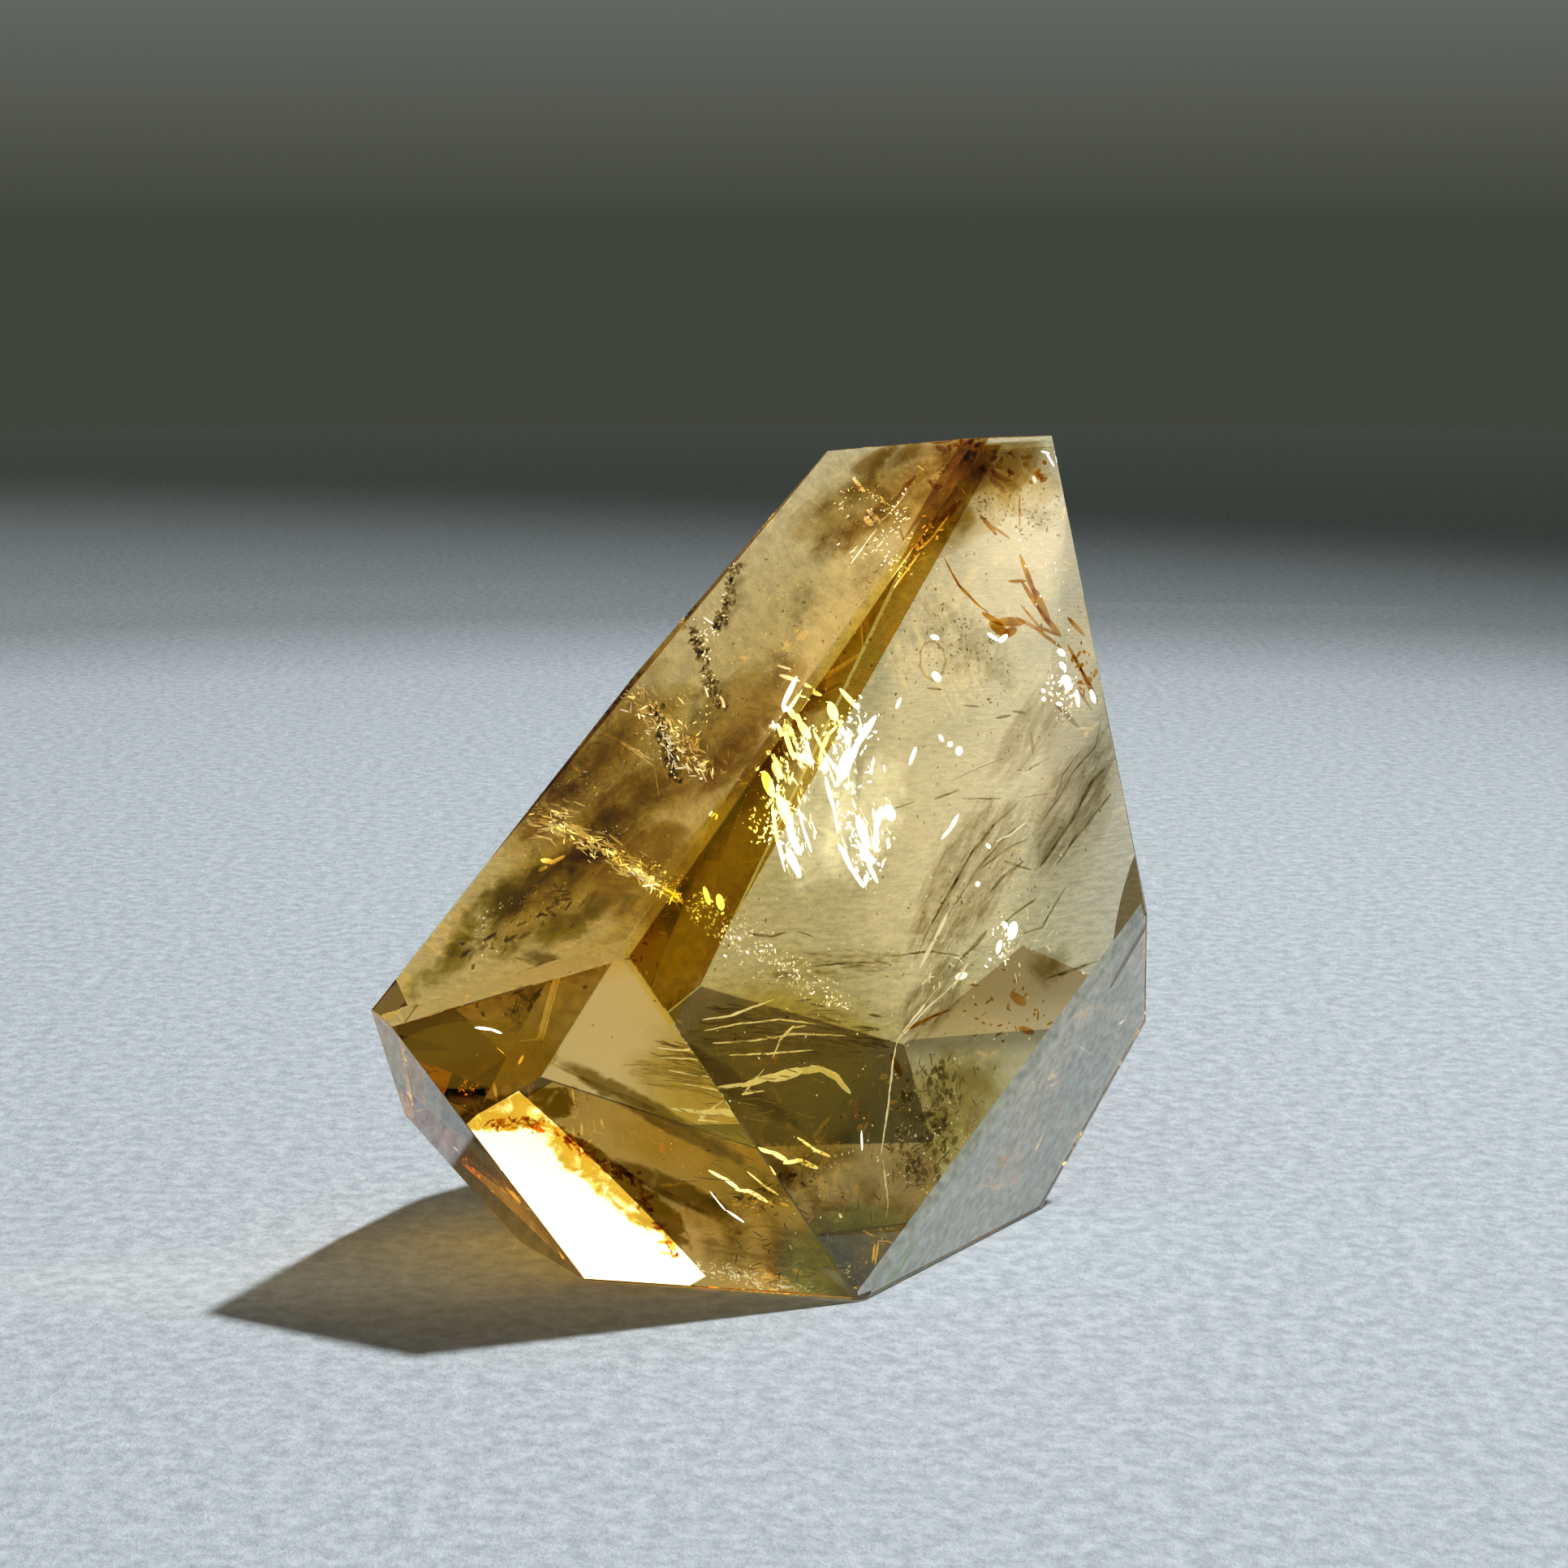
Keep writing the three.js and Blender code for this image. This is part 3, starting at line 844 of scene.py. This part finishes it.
# %% Streaky veils
veils("hair_veils",
      veil_finish("hair_veil", (0.46, 0.40, 0.27), 1700, 0.12, 0.7,
                  fill=1.6, stretch=10, heading=-54), [
    (11.4, -5.7, 7, 16.9, 7.9, 56),
    (17.8, -0.9, 5.5, 14.1, 5.7, 58),
    (15.2, 3.3, 8, 12.4, 4.5, 50),
    (9.2, -13.2, 7, 9.0, 4.5, 50),
])
veils("cross_veils",
      veil_finish("cross_veil", (0.50, 0.44, 0.26), 2200, 0.4, 0.5,
                  fill=2.0, stretch=9, heading=5), [
    (0.7, -15.4, 9, 14.7, 5.1, -4),
    (3.2, -11.2, 8, 13.6, 2.8, 3),
    (-0.8, -28.7, 7, 12.4, 5.1, -4),
    (-7.3, -17.9, 9, 6.8, 2.8, -5),
])

# %% [markdown]
# The whole upper part is a little milky and glows in the lamp's light, more in some places
# than in others. Lower down the haze turns amber and olive, and the left corner gold. Wide
# lenses with a tint and a faint painted glow of their own stand for that.

# %% Milky and amber haze
veils("milky_haze",
      veil_finish("milky_haze", (0.97, 0.96, 0.93), 170, -0.5, 1.3,
                  fill=1.8, glow=(1.0, 0.85, 0.66), strength=0.14), [
    (12.7, 5.3, 8, 18.6, 44.1, -18),
    (14.2, 14.3, 6, 9.6, 12.4, 0),
])
veils("flare_haze",
      veil_finish("flare_haze", (0.98, 0.97, 0.90), 900, -0.2, 0.9,
                  fill=1.6, glow=(1.0, 0.94, 0.62), strength=0.16), [
    (2.0, -0.9, 1.4, 6.8, 13.6, -8),
    (4.8, -2.2, 1.4, 6.2, 10.7, -30),
])
veils("amber_haze",
      veil_finish("amber_haze", (0.80, 0.74, 0.38), 300, -0.5, 1,
                  fill=1.8, glow=(1.0, 0.70, 0.18), strength=0.03), [
    (-0.3, -18.2, 6, 14.7, 13.6, -10),
])
veils("corner_gold",
      veil_finish("corner_gold", (0.96, 0.90, 0.60), 300, -0.9, 0.5,
                  fill=2.0, glow=(1.0, 0.80, 0.28), strength=0.055), [
    (-24.5, -13.0, 0.5, 4.0, 3.2, 30),
])
veils("foot_amber",
      veil_finish("foot_amber", (0.52, 0.50, 0.16), 300, -0.9, 0.5,
                  fill=2.0, glow=(1.0, 0.52, 0.05), strength=0.055), [
    (-19.1, -16.7, 1.8, 11.3, 5.1, 10),
])
veils("corner_wash",
      veil_finish("corner_wash", (0.60, 0.76, 0.50), 400, -0.7, 0.8,
                  fill=1.8, glow=(0.8, 0.72, 0.40), strength=0.03), [
    (4.8, -29.5, 2.5, 10.2, 7.9, -20),
])
veils("low_haze",
      veil_finish("low_haze", (0.90, 0.87, 0.74), 700, 0, 0.9,
                  fill=1.8, glow=(0.95, 0.84, 0.50), strength=0.022), [
    (9.7, -22.7, 6, 11.9, 16.9, -20),
    (5.2, -26.7, 5, 11.3, 11.3, 0),
    (12.7, -15.7, 6, 10.2, 12.4, 20),
    (-0.3, -13.7, 8, 15.8, 4.0, -15),
])

# %% [markdown]
# Where a veil faces the lamp it flares up in flecks, and here the flecks are painted glints.
# These lenses glow of their own only where the noise is strongest, so the flecks are ragged
# and of all sizes.

# %% Gleams
veils("gleam_veils",
      veil_finish("gleam_veil", (1.0, 0.97, 0.85), 1700, 0.72, 0.25,
                  fill=2.5, glow=(1.0, 0.93, 0.62), strength=3.0, stretch=2.5, heading=70), [
    (0.5, -2.2, 0.8, 4.3, 10.2, 12),
    (0.9, 1.8, 0.8, 4.5, 5.7, 20),
    (4.0, 2.0, 0.8, 5.7, 7.9, -25),
    (4.5, -3.7, 0.8, 3.4, 7.9, 20),
    (6.0, -2.5, 0.8, 3.7, 4.5, -20),
])
veils("grain_veils",
      veil_finish("grain_veil", (1.0, 0.98, 0.9), 4200, 0.9, 0.2,
                  fill=2.5, glow=(1.0, 0.95, 0.72), strength=1.3), [
    (-1.3, -10.4, 7, 15.8, 4.0, -36),
    (17.1, 6.0, 4.5, 3.7, 6.8, 10),
    (-13.3, -1.7, 3, 11.3, 6.8, 30),
    (-16.3, -8.2, 2.6, 11.3, 5.1, 20),
    (-9.3, -4.7, 3, 11.3, 4.5, -38),
    (-6.8, 3.3, 3, 7.9, 8.5, -40),
    (13.7, -9.7, 6, 3.4, 5.7, 0),
    (5.5, 17.1, 4, 6.2, 6.2, 30),
    (-1.8, -30.4, 6, 11.3, 2.3, -6),
    (1.7, -22.9, 9, 5.7, 2.8, -15),
    (9.2, -21.7, 8, 7.3, 11.3, 0),
    (-0.3, 6.8, 2, 3.4, 4.0, -30),
])

# %% [markdown]
# Quartz grows in layers, and under the shoulder the colour settles in one of them. A zone
# is a closed body with no skin of its own, because its index is 1.0, but with more of the
# honey colour inside. A layer under a flat is a slice of the block itself, a hair smaller, so
# that it ends where the facet ends.

# %% Layers of deeper colour
LAYER_SHRINK = 0.985
CUT_DEPTH = 0.6
# A place on the sheet where the window is seen.
ON_WINDOW = (4, 4)


def layer(name, flat, depth, thick, material, ends=()):
    """A slice of the block parallel to one of its flats, cut off at each further plane."""
    middle, normal = flat
    bm = plain_block()
    bmesh.ops.scale(bm, verts=bm.verts, vec=(LAYER_SHRINK,) * 3,
                    space=Matrix.Translation(-HEART))
    cuts = [(middle - normal * (depth + thick) * MM, -normal), (middle - normal * depth * MM, normal)]
    for place, away in cuts + list(ends):
        cut_away(bm, place, away)
    return keep_piece(name, bm, material)


honey = clear_quartz("honey_layer", (1.0, 0.85, 0.52), 560.0, UNBENT)
layer("shoulder_honey", SHOULDER, 0.4, 1.6, honey)


def sight_cut(high, low):
    """A plane along the line of sight through two places, facing away to the right."""
    top, foot = behind(*high, CUT_DEPTH), behind(*low, CUT_DEPTH)
    return top, sight(*ON_WINDOW)[1].cross(top - foot).normalized()


# Two thin slices under the window darken the band along the ridge to deep brown.
BAND_RIGHT = sight_cut((12.0, 18.4), (-4.4, -10.6))
BAND_MIDDLE = sight_cut((9.1, 17.3), (-4.2, -10.7))
brown = clear_quartz("brown_layer", (0.955, 0.87, 0.08), 2600.0, UNBENT)
layer("ridge_brown", WINDOW, 0.35, 0.4, brown, ends=[BAND_RIGHT])
deep_brown = clear_quartz("deep_brown_layer", (0.72, 0.54, 0.01), 5800.0, UNBENT)
layer("ridge_edge", WINDOW, 1.3, 0.3, deep_brown,
      ends=[BAND_RIGHT, (BAND_MIDDLE[0], -BAND_MIDDLE[1])])

# %% [markdown]
# The right foot facet shows a grey sheen, the pale table mirrored in it. A thin sheet right
# under it paints that reflection: half clear, half milky, cloudy in places, with a faint glow.

# %% Painted sheen under the right foot
# This sheet paints the facet's grey reflection of the table.
painted_sheen = pale("painted_sheen", (0.48, 0.50, 0.46), (0.92, 0.95, 0.91), (0.84, 0.91, 0.86), 0.09, clear=0.45)
layer("foot_painted_sheen", FOOT_RIGHT, 0.45, 0.15, painted_sheen)

# %% [markdown]
# The floor is a pale slab, a little gritty, with shade painted on it that darkens it away
# from the stone. It ends in a round edge well behind the stone, and beyond it there is only a
# dim room. That darkness matters: the facets that look along the table pick it up and turn
# brown, while those that look down turn pale.

# %% Floor
FLOOR_RADIUS = 0.95
FLOOR_DROP = 0.0001
FLOOR_GRAIN = [(0.38, (0.46, 0.52, 0.57)), (0.62, (0.66, 0.73, 0.79))]
# Painted shade: how much of the floor's tone is left so many metres from the stone.
FLOOR_PAINTED_SHADE = [(0.30, (1.0, 1.0, 1.0)), (0.38, (0.58, 0.59, 0.58)), (0.55, (0.66, 0.67, 0.64)),
              (0.95, (1.0, 0.98, 0.84))]


def floor_material():
    """A gritty pale slab with painted shade that darkens it away from the stone."""
    material, nodes, links, shader = new_finish("pale_floor", 0.9)
    coords = nodes.new("ShaderNodeTexCoord")
    grain = nodes.new("ShaderNodeTexNoise")
    grain.inputs["Scale"].default_value = 700.0
    grain.inputs["Detail"].default_value = 6.0
    grain.inputs["Roughness"].default_value = 0.7
    tone = colour_ramp(nodes, FLOOR_GRAIN)
    away = nodes.new("ShaderNodeVectorMath")
    away.operation = "LENGTH"
    far_painted_shade = colour_ramp(nodes, FLOOR_PAINTED_SHADE)
    # The multiply below lays the painted shade over the floor's grain.
    shaded_tone = nodes.new("ShaderNodeMix")
    shaded_tone.data_type = "RGBA"
    shaded_tone.blend_type = "MULTIPLY"
    shaded_tone.inputs["Factor"].default_value = 1.0
    bump = nodes.new("ShaderNodeBump")
    bump.inputs["Strength"].default_value = 0.6
    bump.inputs["Distance"].default_value = 0.001
    links.new(coords.outputs["Object"], grain.inputs["Vector"])
    links.new(coords.outputs["Object"], away.inputs[0])
    links.new(grain.outputs["Fac"], tone.inputs["Fac"])
    links.new(away.outputs["Value"], far_painted_shade.inputs["Fac"])
    links.new(tone.outputs["Color"], shaded_tone.inputs["A"])
    links.new(far_painted_shade.outputs["Color"], shaded_tone.inputs["B"])
    links.new(shaded_tone.outputs["Result"], shader.inputs["Base Color"])
    links.new(grain.outputs["Fac"], bump.inputs["Height"])
    links.new(bump.outputs["Normal"], shader.inputs["Normal"])
    return material


bm = bmesh.new()
bmesh.ops.create_circle(bm, cap_ends=True, segments=96, radius=FLOOR_RADIUS)
floor = made_object("floor", bm, floor_material())
floor.location = (0.0, 0.0, -FLOOR_DROP)
print("floor radius (m):", FLOOR_RADIUS)

# %% [markdown]
# One bright lamp stands high on the right and a little behind, like late-morning sun. Its
# cone is narrow enough to leave the far floor dim. A broad soft lamp overhead fills the
# shadows, and the room itself gives a low grey light. Some of the sun comes through the
# stone and warms the middle of its shadow, which a small amber lamp stands for.

# %% Lamps
def lamp(name, kind, place, aim, power, size, cone=0.0, colour=(1.0, 1.0, 1.0)):
    """A lamp that faces a point: a round area, or a spot with a soft cone in degrees."""
    data = bpy.data.lights.new(name, kind)
    data.energy = power
    data.color = colour
    if kind == "AREA":
        data.shape = "DISK"
        data.size = size
    else:
        data.shadow_soft_size = size
        data.spot_size = math.radians(cone)
        data.spot_blend = 1.0
    made = bpy.data.objects.new(name, data)
    made.location = place
    made.rotation_euler = (Vector(aim) - Vector(place)).to_track_quat("-Z", "Y").to_euler()
    bpy.context.scene.collection.objects.link(made)
    return made


lamp("key_lamp", "SPOT", (0.52, 0.07, 1.0), (-0.20, 0.06, 0.0), 55.0, 0.035, cone=58)
lamp("overhead_lamp", "AREA", (-0.25, -0.55, 0.9), (0.0, 0.0, 0.03), 0.18, 0.6)
lamp("amber_gleam", "SPOT", (-0.30, -0.01, 0.10), (-0.040, -0.006, 0.0), 1.1, 0.004, cone=3.4,
     colour=(1.0, 0.80, 0.50))

# %% [markdown]
# Five plain panels stand round the stone, as cards do in a studio. The white one is
# small and high, and only the foot facet looks that way, through the undercut back, so it
# alone lights up white. Its slanting upper edge is what ends the bright patch, and the warm
# panel beside it turns the rest of that facet golden. Two low cards at table height keep the
# facets that look along the table from going black, and a warm card on the right does so
# for those that look aside. None of them is seen directly.

# %% Panels round the stone
def panel(name, place, look, edge, wide, high, glow, colour):
    """A glowing panel of so many metres, facing a point, with one side along edge."""
    data = bpy.data.lights.new(name, "AREA")
    data.shape = "RECTANGLE"
    data.size, data.size_y = wide, high
    data.color = colour
    data.energy = glow * math.pi * wide * high
    made = bpy.data.objects.new(name, data)
    back = (Vector(place) - Vector(look)).normalized()
    side = Vector(edge) - back * Vector(edge).dot(back)
    side.normalize()
    turn = Matrix((side, back.cross(side), back)).transposed().to_4x4()
    made.matrix_world = Matrix.Translation(Vector(place)) @ turn
    made.visible_camera = False
    made.visible_diffuse = False
    bpy.context.scene.collection.objects.link(made)
    return made


UNDERCUT = (-0.010, 0.013, 0.007)
panel("white_panel", (0.149, 0.500, 0.2785), UNDERCUT, (0.613, 0.0, -0.790), 0.07, 0.07, 3.6,
      (1.0, 0.99, 0.95))
panel("warm_panel", (0.262, 0.500, 0.318), UNDERCUT, (0.613, 0.0, -0.790), 0.16, 0.13, 0.36,
      (1.0, 0.80, 0.30))
panel("low_card_right", (0.060, 0.400, 0.0145), (0.0, 0.0, 0.0145), (1.0, 0.0, 0.0),
      0.11, 0.029, 0.55, (1.0, 0.97, 0.97))
panel("low_card_left", (-0.150, 0.400, 0.0085), (0.0, 0.0, 0.0085), (1.0, 0.0, 0.0),
      0.26, 0.017, 0.26, (1.0, 0.90, 0.72))
panel("side_card", (0.580, -0.155, 0.170), (0.0, 0.0, 0.020), (0.26, 0.97, 0.0),
      0.42, 0.20, 0.11, (1.0, 0.76, 0.34))

# %% [markdown]
# The window and the foot mirror the pale table, and that image would lie like milk over all
# the brown inside. Dark cards take the table's place, one upright with a flat apron on the
# right and one flat under the foot. They paint dark reflections, and the brown one under the
# foot paints the stone's own shadow into the foot's mirror image. Only mirrored light meets
# them, so they cast no shadow.

# %% Dark cards
MIRROR_WAY = Vector((0.945, -0.325, 0.0)).normalized()
MIRROR_SIDE = Vector((0.325, 0.945, 0.0)).normalized()
CARD_AWAY, CARD_WIDE, CARD_HIGH, APRON = 0.114, 0.11, 0.05, 0.085
JUST_ABOVE_FLOOR = Vector((0.0, 0.0, -0.00005))
CARD_BLACK = (0.004, 0.004, 0.004)
MIRRORED_SHADOW_BROWN = (0.26, 0.24, 0.05)


def dark_card(name, corners, colour):
    """A flat card through four corners that is seen in mirrors alone, as a painted dark reflection.
    """
    bm = bmesh.new()
    bm.faces.new([bm.verts.new(Vector(corner) + JUST_ABOVE_FLOOR) for corner in corners])
    material, _, _, shader = new_finish(name, 1.0)
    shader.inputs["Base Color"].default_value = (*colour, 1)
    shader.inputs["Specular IOR Level"].default_value = 0.0
    card = made_object(name, bm, material)
    card.visible_camera = False
    card.visible_diffuse = False
    card.visible_transmission = False
    card.visible_shadow = False
    return card


far_left = MIRROR_WAY * CARD_AWAY - MIRROR_SIDE * CARD_WIDE / 2
far_right = MIRROR_WAY * CARD_AWAY + MIRROR_SIDE * CARD_WIDE / 2
near_left = far_left - MIRROR_WAY * APRON
near_right = MIRROR_WAY * (CARD_AWAY - APRON)
rise = Vector((0.0, 0.0, CARD_HIGH))
dark_card("black_card", (far_left, far_right, far_right + rise, far_left + rise), CARD_BLACK)
dark_card("black_apron", (far_left, far_right, near_right, near_left), CARD_BLACK)
# The brown card paints the stone's shadow on the table into the foot's reflection.
dark_card("mirrored_shadow_card", ((-0.045, -0.045, 0), (0.008, -0.045, 0), (0.008, -0.012, 0),
                         (-0.045, -0.012, 0)), MIRRORED_SHADOW_BROWN)
print("dark cards stand", CARD_AWAY, "m from the stone")

# %% [markdown]
# The room behind the table is darkest just above the table's edge and a little lighter
# higher up. A ramp on the height of the viewing direction paints that.

# %% Dim room
ROOM_TONES = [(0.0, (0.054, 0.059, 0.046)), (0.07, (0.135, 0.143, 0.125)),
              (0.25, (0.095, 0.10, 0.088))]
world = bpy.data.worlds.new("dim_room")
bpy.context.scene.world = world
world.use_nodes = True
nodes, links = world.node_tree.nodes, world.node_tree.links
direction = nodes.new("ShaderNodeTexCoord")
height = nodes.new("ShaderNodeSeparateXYZ")
room = colour_ramp(nodes, ROOM_TONES)
links.new(direction.outputs["Generated"], height.inputs["Vector"])
links.new(height.outputs["Z"], room.inputs["Fac"])
links.new(room.outputs["Color"], nodes["Background"].inputs["Color"])
print("room tones:", len(ROOM_TONES))

# %% [markdown]
# Light crosses many facets and lenses on its way through the stone, so it is followed for two
# dozen bounces before it is given up.

# %% Ray depth
cycles = bpy.context.scene.cycles
cycles.max_bounces = 24
cycles.transmission_bounces = 22
cycles.glossy_bounces = 8
cycles.diffuse_bounces = 3
cycles.transparent_max_bounces = 16
bpy.context.scene.view_settings.view_transform = "Standard"
